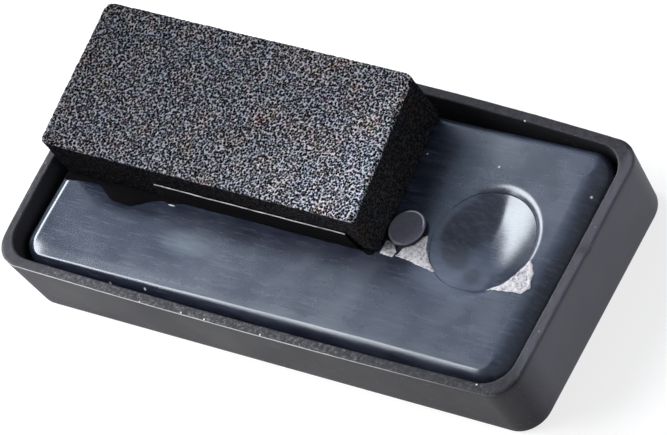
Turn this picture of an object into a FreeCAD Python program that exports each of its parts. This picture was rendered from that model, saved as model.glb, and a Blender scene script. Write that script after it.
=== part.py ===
"""A fluid-fed wiping sponge: a moulded tray, a sealed fluid reservoir with a pressed dosing dish and
a port plug, and a foam wiping block cut back so that they show.

FreeCAD 1.1 macro, millimetres. +X runs along the tray, +Y towards the foam's side, +Z up, and the
origin is at the middle of the tray's underside. It writes one STEP file per sub-part to parts/.
"""

import FreeCAD, Part
import math
import os
import re

import Sketcher
from FreeCAD import Vector

# The driving dimensions. Everything else is worked out from these, in expressions.
DIMENSIONS = {
    # tray
    "tray_length": 109.6,  # between the rim's short sides, at its corners
    "tray_width": 49.7,  # between the rim's long sides, at its corners
    "tray_height": 14.0,
    "tray_shift_x": 0.35,  # its corners' middle from the origin, because the walls bow unevenly
    "tray_shift_y": -0.5,
    "draft_short": 1.0,  # how far each short outer wall leans in from the rim down to the base
    "draft_long": 0.7,
    "bow_front": 0.6,  # how far each side of the rim bows out at its middle; the foam pushes the
    "bow_back": 1.6,  # back and the left side out most
    "bow_left": 0.9,
    "bow_right": 0.1,
    "rim_corner": 5.0,
    "base_corner": 4.5,
    "wall": 1.8,
    "wall_right": 2.4,
    "floor_thick": 2.0,
    "rim_edge": 0.4,  # rounding of the rim's outer edge
    "base_edge": 0.8,
    "gate_radius": 1.5,  # the moulding gate's dimple under the tray
    "gate_depth": 0.3,
    # reservoir: a pan and a film sealed together at their edges
    "sheet_thick": 0.3,  # adhesive sheet under the pan
    "sheet_inset": 4.0,  # from the pan's outline
    "reservoir_length": 102.9,
    "reservoir_width": 44.5,
    "reservoir_shift_x": -0.15,  # it sits a little towards the left and front walls
    "reservoir_shift_y": -0.35,
    "reservoir_corner": 4.5,
    "reservoir_top": 12.2,
    "seal_height": 6.2,  # where the pan's and the film's edges meet
    "seal_width": 1.2,
    "skin": 0.6,  # wall of the pan and of the film
    "shoulder": 2.6,  # rounding of the film's top edges
    "air_gap": 0.8,  # between the fluid and the film
    # dosing dish
    "dish_x": 34.0,
    "dish_y": 1.6,
    "dish_opening": 9.4,  # radius of the film's opening over the dish
    "dish_rim": 10.4,  # radius of the dish's flat rim, under the film
    "dish_depth": 2.0,
    "dish_thick": 0.5,
    "dish_travel": 1.2,
    "clearance": 0.3,
    # port
    "port_x": 19.9,
    "port_y": 0.0,
    "plug_radius": 3.4,
    "plug_head": 0.7,
    "stem_radius": 2.0,
    "stem_length": 3.0,
    "running_gap": 0.06,  # between the plug's stem and its bush
    "bush_radius": 2.9,
    "bush_flange": 0.35,
    "bush_bottom": 5.8,
    "wick_length": 3.0,
    # foam block, with the carrier film and the glue under it
    "foam_left": 51.0,  # distances from the tray's middle
    "foam_front": 5.5,
    "foam_back": 22.2,
    "foam_right_front": 16.7,  # the right face is cut a little askew
    "foam_right_back": 14.0,
    "foam_top": 22.7,
    "foam_moulded_corner": 3.5,  # at the back left, to follow the tray's corner
    "foam_cut_corner": 0.8,
    "carrier_thick": 0.25,
    "carrier_margin": 2.0,  # how far the carrier film shows in front of the foam
    "lip_left": 28.5,  # the carrier's turned-up lip: its left end, from the tray's middle
    "lip_height": 5.1,
    "lip_gap": 0.15,  # between the lip and the foam
    "glue_thick": 0.2,
    "residue_thick": 0.15,
    "residue_front": 5.4,  # the glue's front edge, in line with the foam's
}

PLANES = {"XY": "XY_Plane", "XZ": "XZ_Plane"}

doc = FreeCAD.newDocument("wiping_sponge")
sheet = doc.addObject("Spreadsheet::Sheet", "Dims")
for row, (alias, number) in enumerate(DIMENSIONS.items(), start=1):
    sheet.set(f"A{row}", alias)
    sheet.set(f"B{row}", str(number))
    sheet.setAlias(f"B{row}", alias)
doc.recompute()


# ---------------------------------------------------------------- helpers


def formula(text):
    """An expression in the sheet's aliases, with each one written as the sheet's property."""
    return re.sub(r"[a-z_]+", lambda word: f"Dims.{word[0]}" if word[0] in DIMENSIONS else word[0], text)


def value(text):
    """What such an expression comes to now, for the first guess that a sketch is drawn with."""
    return float(sheet.evalExpression(formula(text)))


def new_body(name, x="0", y="0", z="0"):
    """A PartDesign body with its label and its place."""
    body = doc.addObject("PartDesign::Body", name)
    body.Label = name
    for axis, place in zip("xyz", (x, y, z)):
        body.setExpression(f"Placement.Base.{axis}", formula(place))
    return body


def new_sketch(body, name, height="0", plane="XY", shift_x="0"):
    """An empty sketch on one of the body's own planes, raised by height and moved along X."""
    sketch = body.newObject("Sketcher::SketchObject", f"{body.Name}_{name}")
    origin = body.Origin.OriginFeatures
    support = next(feature for feature in origin if feature.Role == PLANES[plane])
    sketch.AttachmentSupport = [(support, "")]
    sketch.MapMode = "FlatFace"
    sketch.setExpression("AttachmentOffset.Base.x", formula(shift_x))
    sketch.setExpression("AttachmentOffset.Base.z", formula(height))
    return sketch


def dimension(sketch, *constraint):
    """A dimensional constraint whose last item is the expression it is bound to."""
    *parts, text = constraint
    index = sketch.addConstraint(Sketcher.Constraint(*parts, value(text)))
    sketch.setExpression(f"Constraints[{index}]", formula(text))


def corner_ring(sketch, sides):
    """Adds four sides and four corner arcs, each tangent to the next, and makes the corners equal."""
    for item in sides:
        sketch.addGeometry(item, False)
    count = len(sides)
    for item in range(count):
        sketch.addConstraint(Sketcher.Constraint("Tangent", item, 2, (item + 1) % count, 1))
    for corner in (3, 5, 7):
        sketch.addConstraint(Sketcher.Constraint("Equal", 1, corner))


def rounded_rectangle(body, name, height, length, width, radius, shift_x="0"):
    """A rectangle with round corners, centred on the body's axis or moved along X from it."""
    sketch = new_sketch(body, name, height, shift_x=shift_x)
    x, y, r = value(length) / 2, value(width) / 2, value(radius)

    def corner(sign_x, sign_y, start):
        centre = Vector(sign_x * (x - r), sign_y * (y - r), 0)
        circle = Part.Circle(centre, Vector(0, 0, 1), r)
        return Part.ArcOfCircle(circle, math.radians(start), math.radians(start + 90))

    def side(x1, y1, x2, y2):
        return Part.LineSegment(Vector(x1, y1, 0), Vector(x2, y2, 0))

    corner_ring(
        sketch,
        [
            side(r - x, -y, x - r, -y),
            corner(1, -1, 270),
            side(x, r - y, x, y - r),
            corner(1, 1, 0),
            side(x - r, y, r - x, y),
            corner(-1, 1, 90),
            side(-x, y - r, -x, r - y),
            corner(-1, -1, 180),
        ],
    )
    for item, direction in ((0, "Horizontal"), (4, "Horizontal"), (2, "Vertical"), (6, "Vertical")):
        sketch.addConstraint(Sketcher.Constraint(direction, item))
    dimension(sketch, "Radius", 1, radius)
    dimension(sketch, "DistanceX", 6, 1, 2, 1, length)
    dimension(sketch, "DistanceY", 0, 1, 4, 1, width)
    dimension(sketch, "DistanceX", -1, 1, 2, 1, f"({length}) / 2")
    dimension(sketch, "DistanceY", -1, 1, 4, 1, f"({width}) / 2")
    return sketch


def bowed_rectangle(body, name, height, length, width, radius, shift_x="0"):
    """The rim's kind of outline: round corners, and sides that are shallow arcs bowing outwards."""
    sketch = new_sketch(body, name, height, shift_x=shift_x)
    r = value(radius)
    # Front, right, back and left: each one's arc, and how far its centre is past the middle.
    spans = [(length, width, "bow_front"), (width, length, "bow_right")]
    spans += [(length, width, "bow_back"), (width, length, "bow_left")]
    arcs, offsets = [], []
    for chord, across, bow in spans:
        arcs.append(f"(({chord}) * ({chord}) / 8 + {bow} * {bow} / 2) / {bow}")
        offsets.append(f"{arcs[-1]} - ({across}) / 2 - {bow}")
    big = [value(text) for text in arcs]
    off = [value(text) for text in offsets]
    outward = [Vector(0, -1), Vector(1, 0), Vector(0, 1), Vector(-1, 0)]
    centres = [way * -distance for way, distance in zip(outward, off)]

    def corner_centre(side):
        """The centre of the corner after a side: as far inside both sides' arcs as its own radius."""
        after = (side + 1) % 4
        point = outward[side] * (value(spans[side][1]) / 2 - r) + outward[after] * (
            value(spans[after][1]) / 2 - r
        )
        for _ in range(30):
            for which in (side, after):
                gap = (point - centres[which]).Length - (big[which] - r)
                point = point - outward[which] * gap
        return point

    corners = [corner_centre(side) for side in range(4)]
    normal = Vector(0, 0, 1)

    def angle(from_point, to_point):
        way = to_point - from_point
        return math.atan2(way.y, way.x)

    sides = []
    for side in range(4):
        before, after = corners[side - 1], corners[side]
        start, end = angle(centres[side], before), angle(centres[side], after)
        following = angle(centres[(side + 1) % 4], after)
        sides.append(Part.ArcOfCircle(Part.Circle(centres[side], normal, big[side]), start, end))
        sides.append(Part.ArcOfCircle(Part.Circle(after, normal, r), end, following))
    corner_ring(sketch, sides)
    for item, axis in ((0, -2), (2, -1), (4, -2), (6, -1)):
        sketch.addConstraint(Sketcher.Constraint("PointOnObject", item, 3, axis))
    dimension(sketch, "Radius", 1, radius)
    for side, text in enumerate(arcs):
        dimension(sketch, "Radius", 2 * side, text)
    dimension(sketch, "DistanceY", -1, 1, 0, 3, offsets[0])
    dimension(sketch, "DistanceX", 2, 3, -1, 1, offsets[1])
    dimension(sketch, "DistanceY", 4, 3, -1, 1, offsets[2])
    dimension(sketch, "DistanceX", -1, 1, 6, 3, offsets[3])
    return sketch


def circle(body, name, height, radius, x="0", y="0"):
    """A circle with its centre at a place on the sketch's plane, right of and behind its middle."""
    sketch = new_sketch(body, name, height)
    centre = Vector(value(x), value(y), 0)
    sketch.addGeometry(Part.Circle(centre, Vector(0, 0, 1), value(radius)), False)
    dimension(sketch, "Radius", 0, radius)
    if x == y == "0":
        sketch.addConstraint(Sketcher.Constraint("Coincident", 0, 3, -1, 1))
    else:
        dimension(sketch, "DistanceX", -1, 1, 0, 3, x)
        dimension(sketch, "DistanceY", -1, 1, 0, 3, y)
    return sketch


def polygon(body, name, height, points):
    """Straight sides through points, each given by two expressions for its X and Y."""
    sketch = new_sketch(body, name, height)
    corners = [Vector(value(x), value(y), 0) for x, y in points]
    count = len(points)
    for item in range(count):
        sketch.addGeometry(Part.LineSegment(corners[item], corners[(item + 1) % count]), False)
    for item in range(count):
        sketch.addConstraint(Sketcher.Constraint("Coincident", item, 2, (item + 1) % count, 1))
    for item, (x, y) in enumerate(points):
        for kind, text in (("DistanceX", x), ("DistanceY", y)):
            # A distance is never negative, so a point left of or in front of the axes is measured back.
            if value(text) < 0:
                dimension(sketch, kind, item, 1, -1, 1, f"-({text})")
            else:
                dimension(sketch, kind, -1, 1, item, 1, text)
    return sketch


def pad(body, sketch, length):
    feature = body.newObject("PartDesign::Pad", f"{sketch.Name}_pad")
    feature.Profile = sketch
    feature.setExpression("Length", formula(length))
    return feature


def pocket(body, sketch, length, upwards=True):
    """Cuts the sketch's outline out of the body, from the sketch's plane up or down."""
    doc.recompute()
    before = body.Shape.Volume
    feature = body.newObject("PartDesign::Pocket", f"{sketch.Name}_pocket")
    feature.Profile = sketch
    feature.Reversed = upwards
    feature.setExpression("Length", formula(length))
    doc.recompute()
    if not body.Shape.Volume < before:
        raise SystemExit(f"{feature.Name} cuts nothing")
    return feature


def loft(body, kind, lower, upper):
    """An additive or subtractive loft between two sketches."""
    feature = body.newObject(f"PartDesign::{kind}Loft", f"{lower.Name}_loft")
    feature.Profile = lower
    feature.Sections = [upper]
    feature.Ruled = True
    return feature


def round_edges(body, name, radius, wanted):
    """Rounds the body's edges for which wanted(edge) is true."""
    doc.recompute()
    base = body.Tip
    edges = [f"Edge{n}" for n, edge in enumerate(base.Shape.Edges, start=1) if wanted(edge)]
    if not edges:
        raise SystemExit(f"{body.Name}: no edges to round for {name}")
    feature = body.newObject("PartDesign::Fillet", f"{body.Name}_{name}")
    feature.Base = (base, edges)
    feature.setExpression("Radius", formula(radius))
    doc.recompute()
    return feature


def level(edge, height):
    """True if the edge lies flat at a height."""
    box = edge.BoundBox
    return abs(box.ZMin - height) < 0.01 and abs(box.ZMax - height) < 0.01


def reaches(edge, x, y):
    """True if the edge gets as far out as x along X or y along Y."""
    box = edge.BoundBox
    return max(-box.XMin, box.XMax) >= x or max(-box.YMin, box.YMax) >= y


# ---------------------------------------------------------------- tray


def tray():
    """The moulded shell: drafted walls, a flat rim that bows out a little, and a flat base."""
    body = new_body("tray", "tray_shift_x", "tray_shift_y")
    base_length, base_width = "tray_length - 2 * draft_short", "tray_width - 2 * draft_long"
    lower = rounded_rectangle(body, "base", "0", base_length, base_width, "base_corner")
    upper = bowed_rectangle(body, "rim", "tray_height", "tray_length", "tray_width", "rim_corner")
    loft(body, "Additive", lower, upper)
    # Inside, the right wall is the thickest, so the hollow's middle is left of the tray's.
    hollow_shift = "(wall - wall_right) / 2"
    inner_floor = rounded_rectangle(
        body,
        "inner_floor",
        "floor_thick",
        f"{base_length} + 2 * draft_short * floor_thick / tray_height - wall - wall_right",
        f"{base_width} + 2 * draft_long * floor_thick / tray_height - 2 * wall",
        "base_corner - wall",
        hollow_shift,
    )
    mouth = bowed_rectangle(
        body,
        "mouth",
        "tray_height",
        "tray_length - wall - wall_right",
        "tray_width - 2 * wall",
        "rim_corner - wall",
        hollow_shift,
    )
    loft(body, "Subtractive", inner_floor, mouth)
    height = value("tray_height")
    out_x, out_y = value("tray_length / 2 - 0.5"), value("tray_width / 2 - 0.5")
    round_edges(
        body,
        "rim_rounding",
        "rim_edge",
        lambda edge: level(edge, height) and reaches(edge, out_x, out_y),
    )
    round_edges(body, "base_rounding", "base_edge", lambda edge: level(edge, 0))
    pocket(body, circle(body, "gate", "0", "gate_radius"), "gate_depth")
    return body


# ---------------------------------------------------------------- reservoir


def reservoir_body(name, z):
    return new_body(name, "reservoir_shift_x", "reservoir_shift_y", z)


def outline(body, name, height, inset):
    """The reservoir's outline, drawn in by inset all round."""
    return rounded_rectangle(
        body,
        name,
        height,
        f"reservoir_length - 2 * ({inset})",
        f"reservoir_width - 2 * ({inset})",
        f"reservoir_corner - {inset} * 0.5",
    )


def over_dish(body, name, height, radius):
    """A circle about the dish's axis."""
    return circle(body, name, height, radius, "dish_x - reservoir_shift_x", "dish_y - reservoir_shift_y")


def over_port(body, name, height, radius):
    """A circle about the port's axis."""
    return circle(body, name, height, radius, "port_x - reservoir_shift_x", "port_y - reservoir_shift_y")


def reservoir_adhesive():
    """The sheet that holds the pan to the tray's floor."""
    body = reservoir_body("reservoir_adhesive", "floor_thick")
    pad(body, outline(body, "sheet", "0", "sheet_inset"), "sheet_thick")
    return body


def reservoir_pan():
    """The lower half: an open tub with a flat edge all round for the seal."""
    body = reservoir_body("reservoir_pan", "floor_thick + sheet_thick")
    depth = "seal_height - floor_thick - sheet_thick"
    pad(body, outline(body, "tub", "0", "seal_width + 1"), depth)
    pad(body, outline(body, "edge", f"{depth} - skin", "0"), "skin")
    pocket(body, outline(body, "hollow", "skin", "seal_width + 1 + skin"), depth)
    return body


def reservoir_film():
    """The upper half, with round shoulders, the dish's opening and the port's hole."""
    body = reservoir_body("reservoir_film", "seal_height")
    rise = "reservoir_top - seal_height"
    pad(body, outline(body, "edge", "0", "0"), "skin")
    pad(body, outline(body, "crown", "0", "seal_width / 2"), rise)
    hollow = outline(body, "hollow", "0", "seal_width / 2 + skin")
    pocket(body, hollow, f"{rise} - skin")
    outside, inside = value(rise), value(f"{rise} - skin")
    round_edges(body, "inner_shoulders", "shoulder - skin", lambda edge: level(edge, inside))
    round_edges(body, "shoulders", "shoulder", lambda edge: level(edge, outside))
    pocket(body, over_dish(body, "opening", "0", "dish_opening"), rise)
    pocket(body, over_port(body, "port_hole", "0", "bush_radius"), rise)
    return body


def reservoir_fluid():
    """The fill, with room for the dish's travel and for the port's bush."""
    bottom = "floor_thick + sheet_thick + skin"
    body = reservoir_body("reservoir_fluid", bottom)
    depth = f"seal_height - ({bottom})"
    pad(body, outline(body, "low", "0", "seal_width + 1 + skin"), depth)
    crown = outline(body, "high", depth, "seal_width / 2 + skin + 1")
    pad(body, crown, "reservoir_top - skin - air_gap - seal_height")
    well = "reservoir_top - skin - clearance - dish_depth - dish_thick - dish_travel - clearance"
    dish = over_dish(body, "dish_well", f"{well} - ({bottom})", "dish_rim + clearance")
    pocket(body, dish, "reservoir_top")
    port = over_port(body, "port_well", f"bush_bottom - ({bottom})", "bush_radius")
    pocket(body, port, "reservoir_top")
    return body


def dosing_dish():
    """The pressed dish: a shallow spherical cap with a flat rim that lies under the film."""
    body = new_body("dosing_dish", "dish_x", "dish_y", "reservoir_top - skin - clearance")
    sketch = new_sketch(body, "profile", plane="XZ")
    names = ("dish_opening", "dish_depth", "dish_thick", "dish_rim")
    opening, depth, thick, rim = (value(name) for name in names)
    sphere = "(dish_opening * dish_opening + dish_depth * dish_depth) / (2 * dish_depth)"
    ball = value(sphere)
    centre = Vector(0, ball - depth, 0)
    normal = Vector(0, 0, 1)
    low = -math.pi / 2
    upper_end = math.atan2(-centre.y, opening)
    lower_end = math.asin((-thick - centre.y) / (ball + thick))
    inner = (ball + thick) * math.cos(lower_end)
    sketch.addGeometry(
        [
            Part.ArcOfCircle(Part.Circle(centre, normal, ball), low, upper_end),
            Part.LineSegment(Vector(opening, 0, 0), Vector(rim, 0, 0)),
            Part.LineSegment(Vector(rim, 0, 0), Vector(rim, -thick, 0)),
            Part.LineSegment(Vector(rim, -thick, 0), Vector(inner, -thick, 0)),
            Part.ArcOfCircle(Part.Circle(centre, normal, ball + thick), low, lower_end),
            Part.LineSegment(Vector(0, -depth - thick, 0), Vector(0, -depth, 0)),
        ],
        False,
    )
    for link in (
        ("Coincident", 0, 2, 1, 1),
        ("Coincident", 1, 2, 2, 1),
        ("Coincident", 2, 2, 3, 1),
        ("Coincident", 3, 2, 4, 2),
        ("Coincident", 4, 1, 5, 1),
        ("Coincident", 5, 2, 0, 1),
        ("Coincident", 4, 3, 0, 3),
        ("PointOnObject", 0, 3, -2),
        ("PointOnObject", 0, 1, -2),
        ("PointOnObject", 4, 1, -2),
        ("PointOnObject", 1, 1, -1),
        ("Horizontal", 1),
        ("Vertical", 2),
        ("Horizontal", 3),
    ):
        sketch.addConstraint(Sketcher.Constraint(*link))
    dimension(sketch, "Radius", 0, sphere)
    dimension(sketch, "Radius", 4, f"{sphere} + dish_thick")
    dimension(sketch, "DistanceX", -1, 1, 1, 1, "dish_opening")
    dimension(sketch, "DistanceX", -1, 1, 1, 2, "dish_rim")
    dimension(sketch, "DistanceY", 2, 2, 2, 1, "dish_thick")
    turn = body.newObject("PartDesign::Revolution", "dosing_dish_turn")
    turn.Profile = sketch
    turn.ReferenceAxis = (sketch, ["V_Axis"])
    turn.Angle = 360
    return body


# ---------------------------------------------------------------- port


def port_body(name, z):
    return new_body(name, "port_x", "port_y", z)


def port_bush():
    """The flanged tube bonded into the film's hole, which reaches down into the fluid."""
    body = port_body("port_bush", "bush_bottom")
    reach = "reservoir_top - bush_bottom"
    pad(body, circle(body, "tube", "0", "bush_radius"), reach)
    pad(body, circle(body, "flange", reach, "plug_radius"), "bush_flange")
    pocket(body, circle(body, "bore", "0", "stem_radius + running_gap"), f"{reach} + bush_flange")
    return body


def port_plug():
    """The press-in plug: a flat head on the bush's flange, and a stem in its bore."""
    body = port_body("port_plug", "reservoir_top + bush_flange - stem_length")
    pad(body, circle(body, "stem", "0", "stem_radius"), "stem_length")
    pad(body, circle(body, "head", "stem_length", "plug_radius"), "plug_head")
    head_top = value("stem_length + plug_head")
    round_edges(body, "head_edge", "plug_head / 2", lambda edge: level(edge, head_top))
    return body


def feed_wick():
    """The felt core in the bush, below the plug."""
    body = port_body("feed_wick", "bush_bottom")
    pad(body, circle(body, "core", "0", "stem_radius + running_gap"), "wick_length")
    return body


# ---------------------------------------------------------------- foam block


def rectangle(left, right, front, back):
    """The corners of a rectangle whose sides are given by four expressions."""
    return [(left, front), (right, front), (right, back), (left, back)]


def foam_carrier():
    """The thin glossy film under the foam: it shows in front of it, and turns up along its face."""
    body = new_body("foam_carrier", z="reservoir_top")
    left = "shoulder - reservoir_length / 2 + reservoir_shift_x + 1"
    right = "foam_right_front - 0.8"
    back = "reservoir_width / 2 + reservoir_shift_y - shoulder - 1"
    front = "-foam_front - carrier_margin"
    under = [(left, front), (right, front), ("foam_right_back - 0.8", back), (left, back)]
    pad(body, polygon(body, "under", "0", under), "carrier_thick")
    face = "-foam_front - lip_gap"
    lip = rectangle("-lip_left", right, f"{face} - carrier_thick", face)
    pad(body, polygon(body, "lip", "0", lip), "lip_height")
    return body


def foam_adhesive():
    """The transfer glue between the carrier film and the foam."""
    body = new_body("foam_adhesive", z="reservoir_top + carrier_thick")
    left = "shoulder - reservoir_length / 2 + reservoir_shift_x + 1.5"
    back = "reservoir_width / 2 + reservoir_shift_y - shoulder - 1.5"
    front = "0.5 - foam_front"
    right_front, right_back = "foam_right_front - 1.8", "foam_right_back - 1.8"
    layer = [(left, front), (right_front, front), (right_back, back), (left, back)]
    pad(body, polygon(body, "layer", "0", layer), "glue_thick")
    return body


def foam_block():
    """The wiping foam: moulded faces at the left and back, cut faces at the front and right."""
    body = new_body("foam_block", z="reservoir_top + carrier_thick + glue_thick")
    corners = [
        ("-foam_left", "-foam_front"),
        ("foam_right_front", "-foam_front"),
        ("foam_right_back", "foam_back"),
        ("-foam_left", "foam_back"),
    ]
    height = "foam_top - reservoir_top - carrier_thick - glue_thick"
    pad(body, polygon(body, "outline", "0", corners), height)
    left, back = value("-foam_left"), value("foam_back")

    def moulded(edge):
        box = edge.BoundBox
        return box.XMax < left + 0.1 and box.YMin > back - 0.1

    def cut(edge):
        box = edge.BoundBox
        return box.ZLength > 1 and (box.YMax < 0 or box.XMin > 0)

    round_edges(body, "moulded_corner", "foam_moulded_corner", moulded)
    round_edges(body, "cut_corners", "foam_cut_corner", cut)
    return body


def residue(name, points):
    """A thin patch of dried glue on the film."""
    body = new_body(name, z="reservoir_top")
    pad(body, polygon(body, "patch", "0", points), "residue_thick")
    return body


def glue_patches():
    """What is left of the glue between the dish and the line of the cut."""
    front = "-residue_front"
    left = [
        ("dish_x - 12.4", front),
        ("dish_x - 6", "-residue_front - 0.4"),
        ("dish_x - 7.4", "dish_y - 6.6"),
        ("dish_x - 9.4", "dish_y - 3.2"),
        ("dish_x - 10.1", "dish_y - 1.4"),
    ]
    right = [
        ("dish_x + 6.4", front),
        ("dish_x + 13", front),
        ("dish_x + 11.8", "dish_y - 2.6"),
        ("dish_x + 10.4", "dish_y - 0.6"),
        ("dish_x + 8.6", "dish_y - 5"),
    ]
    spot = [
        ("foam_right_front + 0.5", front),
        ("foam_right_front + 3.1", "0.7 - residue_front"),
        ("foam_right_front + 1.6", "1.9 - residue_front"),
        ("foam_right_front + 0.6", "2.2 - residue_front"),
    ]
    return [
        residue("glue_patch_left", left),
        residue("glue_patch_right", right),
        residue("glue_spot", spot),
    ]


# ---------------------------------------------------------------- build and write


def main():
    bodies = [
        tray(),
        reservoir_adhesive(),
        reservoir_pan(),
        reservoir_fluid(),
        reservoir_film(),
        dosing_dish(),
        port_bush(),
        port_plug(),
        feed_wick(),
        foam_carrier(),
        foam_adhesive(),
        foam_block(),
        *glue_patches(),
    ]
    doc.recompute()
    failed = [item.Name for item in doc.Objects if {"Invalid", "Error"} & set(item.State)]
    if failed:
        raise SystemExit(f"failed: {failed}")
    for body in bodies:
        if body.Shape.isNull() or not body.Shape.isValid() or not body.Shape.Solids:
            raise SystemExit(f"{body.Label} has no valid solid")
    os.makedirs("parts", exist_ok=True)
    for body in bodies:
        body.Shape.exportStep(os.path.join("parts", f"{body.Label}.step"))
        box = body.Shape.BoundBox
        low = ", ".join(f"{number:.2f}" for number in (box.XMin, box.YMin, box.ZMin))
        high = ", ".join(f"{number:.2f}" for number in (box.XMax, box.YMax, box.ZMax))
        print(f"{body.Label:20} {body.Shape.Volume:9.1f} mm3  ({low}) to ({high})")


main()
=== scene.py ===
"""The looks of a fluid-fed wiping sponge, built around its CAD frame.

Metres, in the CAD's own axes: +X along the tray, +Y towards the foam's side, +Z up. Shapes are worked
out in millimetres from the frame's boxes and scaled as their meshes are made.
"""

import math

import bpy
import numpy as np
from mathutils import Matrix, Vector, kdtree, noise
from mathutils.geometry import delaunay_2d_cdt


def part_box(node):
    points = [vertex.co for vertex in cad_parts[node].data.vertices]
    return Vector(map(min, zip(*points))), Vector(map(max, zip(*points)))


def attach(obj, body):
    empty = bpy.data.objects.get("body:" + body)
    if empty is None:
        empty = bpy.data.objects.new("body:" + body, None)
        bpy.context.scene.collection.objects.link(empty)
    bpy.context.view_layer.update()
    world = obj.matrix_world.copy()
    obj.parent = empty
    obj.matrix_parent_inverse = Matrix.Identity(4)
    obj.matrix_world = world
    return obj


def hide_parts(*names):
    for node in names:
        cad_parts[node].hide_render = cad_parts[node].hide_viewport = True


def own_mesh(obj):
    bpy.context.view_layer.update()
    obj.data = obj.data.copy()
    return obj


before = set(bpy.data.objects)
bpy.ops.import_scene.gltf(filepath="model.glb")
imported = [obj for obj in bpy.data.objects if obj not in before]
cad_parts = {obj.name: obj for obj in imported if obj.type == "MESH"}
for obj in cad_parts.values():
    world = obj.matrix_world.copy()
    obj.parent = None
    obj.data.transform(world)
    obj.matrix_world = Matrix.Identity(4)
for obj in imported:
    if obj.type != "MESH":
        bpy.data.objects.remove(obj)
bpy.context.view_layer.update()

MM = 0.001


def box(node):
    """A CAD node's lowest and highest corners, in millimetres."""
    low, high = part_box(node)
    return np.array(low) / MM, np.array(high) / MM


TRAY_LOW, TRAY_HIGH = box("tray")
FILM_LOW, FILM_HIGH = box("reservoir_film")
DISH_LOW, DISH_HIGH = box("dosing_dish")
PLUG_LOW, PLUG_HIGH = box("port_plug")
BUSH_TOP = box("port_bush")[1][2]
FOAM_LOW, FOAM_HIGH = box("foam_block")
CARRIER_LOW, CARRIER_HIGH = box("foam_carrier")

RIM = TRAY_HIGH[2]
FILM_TOP = FILM_HIGH[2]
DISH = (DISH_LOW + DISH_HIGH)[:2] / 2
PORT = (PLUG_LOW + PLUG_HIGH)[:2] / 2
LEFT, FRONT, RIGHT, BACK = range(4)


# ---------------------------------------------------------------- small helpers


def smooth(low, high, x):
    """A smooth step from 0 at low to 1 at high."""
    t = np.clip((x - low) / (high - low), 0, 1)
    return t * t * (3 - 2 * t)


def bump(x, centre, width):
    """A soft bell of height 1."""
    return math.exp(-(((x - centre) / width) ** 2))


def rough(point, size, detail=3):
    """Fractal noise of about -1 to 1 whose largest lumps are size millimetres across."""
    return noise.fractal(Vector(point) / size, 1.0, 2.0, detail)


def make(name, points, faces, body, material, nodes):
    """A smooth-shaded piece from points in millimetres, riding on a body and standing for CAD nodes."""
    mesh = bpy.data.meshes.new(name)
    mesh.from_pydata([Vector(point) * MM for point in points], [], faces)
    mesh.validate()
    mesh.shade_smooth()
    mesh.materials.append(material)
    piece = bpy.data.objects.new(name, mesh)
    bpy.context.scene.collection.objects.link(piece)
    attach(piece, body)
    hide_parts(*nodes)
    return piece


def bridge(rings):
    """Points and faces of a tube through closed rings that all have as many points."""
    count = len(rings[0])
    points = [point for ring in rings for point in ring]
    faces = []
    for level in range(len(rings) - 1):
        for item in range(count):
            after = (item + 1) % count
            low, high = level * count, (level + 1) * count
            faces.append((low + item, low + after, high + after, high + item))
    return points, faces


def closed(rings):
    """The same, closed by a flat face at each end."""
    points, faces = bridge(rings)
    count = len(rings[0])
    faces.append(tuple(reversed(range(count))))
    faces.append(tuple(range(len(points) - count, len(points))))
    return points, faces


def turned(centre, profile, count=96):
    """Rings about a vertical axis from a profile of (radius, height)."""
    angles = np.linspace(0, 2 * math.pi, count, endpoint=False)
    rings = []
    for radius, height in profile:
        xs = centre[0] + radius * np.cos(angles)
        ys = centre[1] + radius * np.sin(angles)
        rings.append([(x, y, height) for x, y in zip(xs, ys)])
    return rings


# ---------------------------------------------------------------- material helpers


def new_material(name):
    """A material with its node tree and its principled shader."""
    material = bpy.data.materials.new(name)
    material.use_nodes = True
    return material, material.node_tree, material.node_tree.nodes["Principled BSDF"]


def feed(tree, socket, source):
    """Links a socket to another node's output, or sets it to a constant."""
    if isinstance(source, bpy.types.NodeSocket):
        tree.links.new(source, socket)
    else:
        socket.default_value = source


def add(tree, kind, inputs=None, **settings):
    """A new node with its settings, and its inputs linked or set."""
    node = tree.nodes.new(kind)
    for key, setting in settings.items():
        setattr(node, key, setting)
    for key, source in (inputs or {}).items():
        feed(tree, node.inputs[key], source)
    return node


def place(tree, stretch=(1, 1, 1), turn=0.0):
    """The piece's own coordinates in metres, stretched and turned about Z."""
    coordinates = add(tree, "ShaderNodeTexCoord").outputs["Object"]
    inputs = {"Vector": coordinates, "Scale": stretch, "Rotation": (0, 0, turn)}
    return add(tree, "ShaderNodeMapping", inputs).outputs["Vector"]


def noise_node(tree, where, size, detail=4.0, roughness=0.55):
    """Noise whose lumps are about size millimetres across."""
    inputs = {"Vector": where, "Scale": 1 / (size * MM), "Detail": detail, "Roughness": roughness}
    return add(tree, "ShaderNodeTexNoise", inputs).outputs["Fac"]


def cells(tree, where, size, feature="F1", output="Distance"):
    """Cells about size millimetres across."""
    inputs = {"Vector": where, "Scale": 1 / (size * MM)}
    return add(tree, "ShaderNodeTexVoronoi", inputs, feature=feature).outputs[output]


def ramp(tree, source, *stops):
    """A colour ramp; each stop is (place, colour), and a single number means a grey."""
    node = add(tree, "ShaderNodeValToRGB", {"Fac": source})
    elements = node.color_ramp.elements
    while len(elements) < len(stops):
        elements.new(0.5)
    for element, (at, colour) in zip(elements, stops):
        element.position = at
        element.color = (*colour, 1) if isinstance(colour, tuple) else (colour, colour, colour, 1)
    return node.outputs["Color"]


def span(tree, source, from_low, from_high, to_low, to_high):
    """A number moved from one range to another, and kept inside it."""
    inputs = {"Value": source, 1: from_low, 2: from_high, 3: to_low, 4: to_high}
    return add(tree, "ShaderNodeMapRange", inputs).outputs["Result"]


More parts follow.
